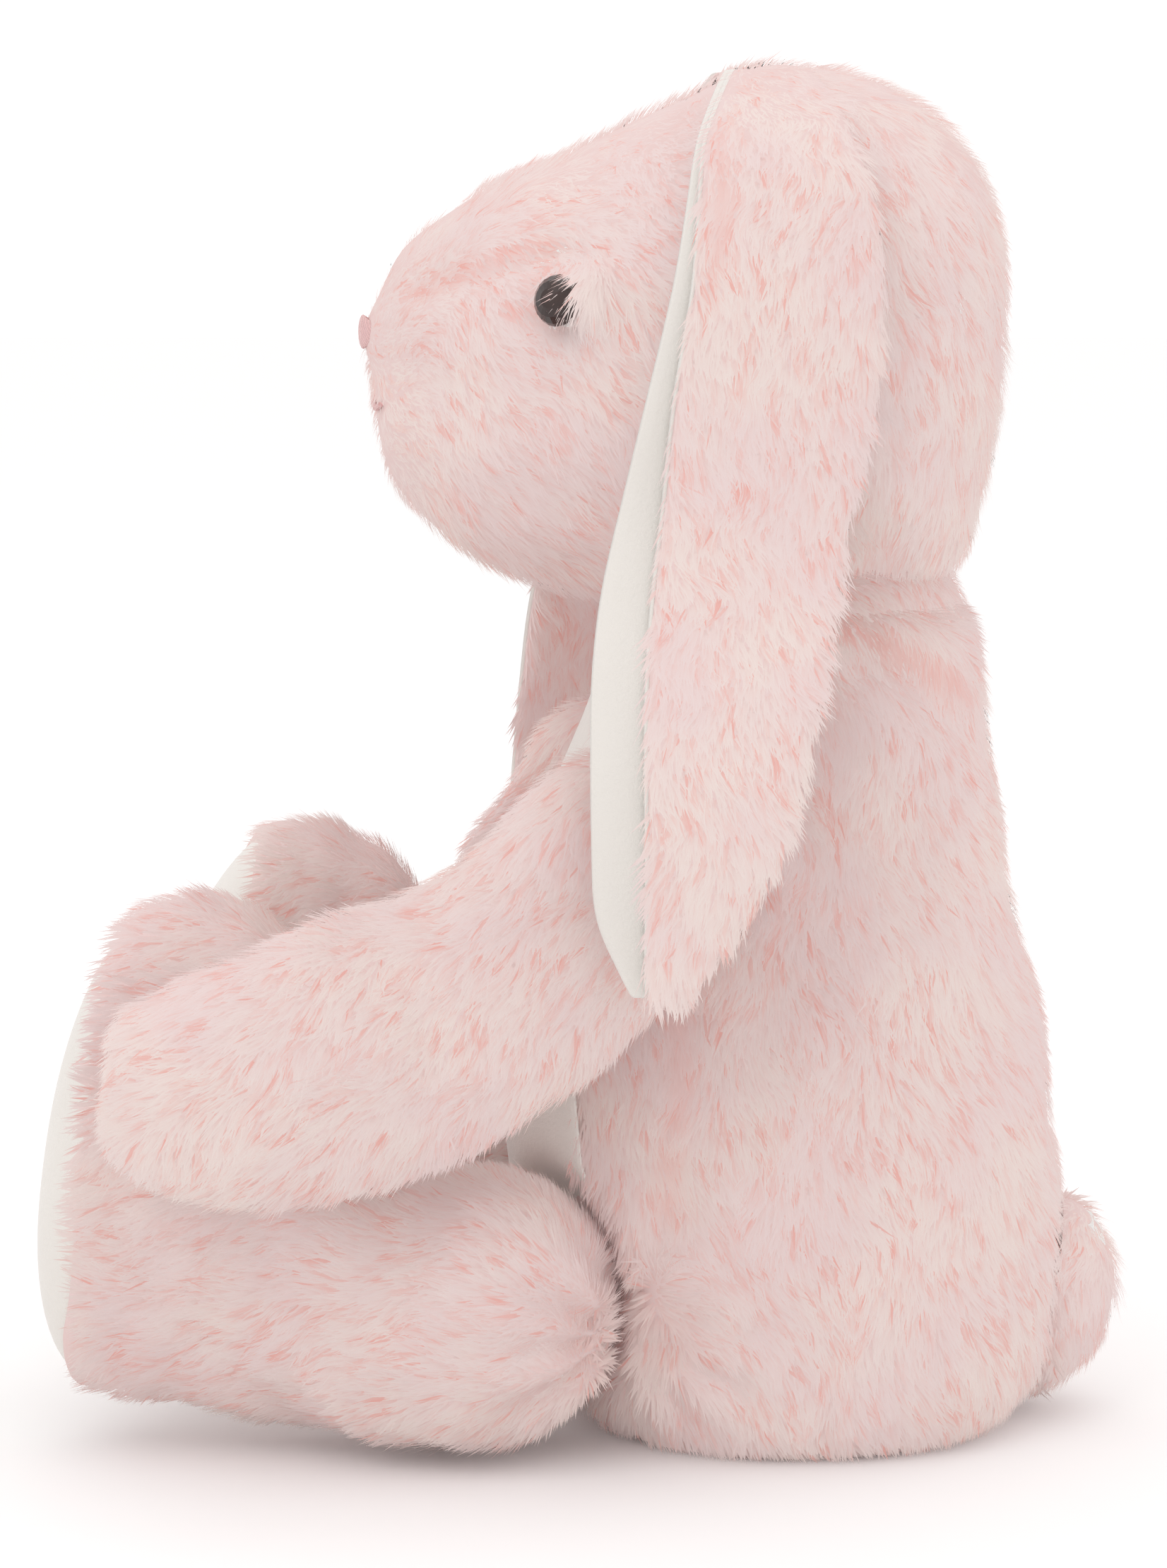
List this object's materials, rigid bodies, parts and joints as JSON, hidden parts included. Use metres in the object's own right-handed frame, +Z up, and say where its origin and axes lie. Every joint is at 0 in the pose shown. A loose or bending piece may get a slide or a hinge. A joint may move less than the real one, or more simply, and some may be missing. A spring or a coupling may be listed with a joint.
{
  "type": "stuffed bunny rabbit",
  "caption": "Seated plush bunny rabbit with long lop ears, sewn panels over stuffing, movable head, ears, arms, legs and tail.",
  "frame": {"origin": "on the surface the bunny sits on, under the middle of its bounding box", "axes": "+Z up, the bunny faces -Y, its left side is +X"},
  "size_m": [0.1865, 0.2146, 0.2701],
  "materials": {
    "pink_plush": "dense short pile, dusty pink with deeper pink roots",
    "cream_cloth": "smooth short-napped cream fabric",
    "fibre": "loose polyester fibre",
    "linen": "woven pouch",
    "eye_plastic": "polished dark brown",
    "washer_plastic": "moulded",
    "thread": "pink embroidery floss"
  },
  "bodies": {
    "torso": {"left_body_panel": "pink_plush", "right_body_panel": "pink_plush", "belly_panel": "cream_cloth", "seat_panel": "pink_plush", "body_stuffing": "fibre", "pellet_pouch": "linen", "left_shoulder_tack": "thread", "right_shoulder_tack": "thread"},
    "neck": {"neck_plush": "pink_plush"},
    "head": {"head_gusset": "pink_plush", "left_cheek": "pink_plush", "right_cheek": "pink_plush", "head_stuffing": "fibre", "left_eye": "eye_plastic", "right_eye": "eye_plastic", "left_eye_washer": "washer_plastic", "right_eye_washer": "washer_plastic", "nose_stitching": "thread", "mouth_thread": "thread", "philtrum_thread": "thread"},
    "left_ear": {"left_ear_outer": "pink_plush", "left_ear_lining": "cream_cloth"},
    "right_ear": {"right_ear_outer": "pink_plush", "right_ear_lining": "cream_cloth"},
    "left_arm": {"left_arm_outer": "pink_plush", "left_arm_inner": "pink_plush", "left_arm_stuffing": "fibre"},
    "right_arm": {"right_arm_outer": "pink_plush", "right_arm_inner": "pink_plush", "right_arm_stuffing": "fibre"},
    "left_leg": {"left_leg_outer": "pink_plush", "left_leg_inner": "pink_plush", "left_sole_pad": "cream_cloth", "left_leg_stuffing": "fibre"},
    "right_leg": {"right_leg_outer": "pink_plush", "right_leg_inner": "pink_plush", "right_sole_pad": "cream_cloth", "right_leg_stuffing": "fibre"},
    "tail": {"tail_cover": "pink_plush", "tail_stuffing": "fibre"}
  },
  "joints": [
    {"name": "head_turn", "type": "hinge", "parent": "torso", "child": "neck", "pos_m": [0, 0.041, 0.1495], "axis": [0, 0, 1], "range_deg": [-5, 5]},
    {"name": "head_nod", "type": "hinge", "parent": "neck", "child": "head", "pos_m": [0, 0.041, 0.1495], "axis": [1, 0, 0], "range_deg": [-10, 8]},
    {"name": "left_ear_lift", "type": "hinge", "parent": "head", "child": "left_ear", "pos_m": [0.046, 0.036, 0.252], "axis": [0, -1, 0], "range_deg": [0, 95]},
    {"name": "right_ear_lift", "type": "hinge", "parent": "head", "child": "right_ear", "pos_m": [-0.046, 0.033, 0.252], "axis": [0, 1, 0], "range_deg": [0, 95]},
    {"name": "left_arm_swing", "type": "hinge", "parent": "torso", "child": "left_arm", "pos_m": [0.06, 0.007, 0.1165], "axis": [-1, 0, 0], "range_deg": [0, 45]},
    {"name": "right_arm_swing", "type": "hinge", "parent": "torso", "child": "right_arm", "pos_m": [-0.06, 0.007, 0.1165], "axis": [-1, 0, 0], "range_deg": [0, 45]},
    {"name": "left_leg_swing", "type": "hinge", "parent": "torso", "child": "left_leg", "pos_m": [0.042, -0.022, 0.03], "axis": [1, 0, 0], "range_deg": [0, 60]},
    {"name": "right_leg_swing", "type": "hinge", "parent": "torso", "child": "right_leg", "pos_m": [-0.042, -0.012, 0.03], "axis": [1, 0, 0], "range_deg": [0, 52]},
    {"name": "tail_lift", "type": "hinge", "parent": "torso", "child": "tail", "pos_m": [0, 0.0976, 0.043], "axis": [1, 0, 0], "range_deg": [0, 25]}
  ]
}
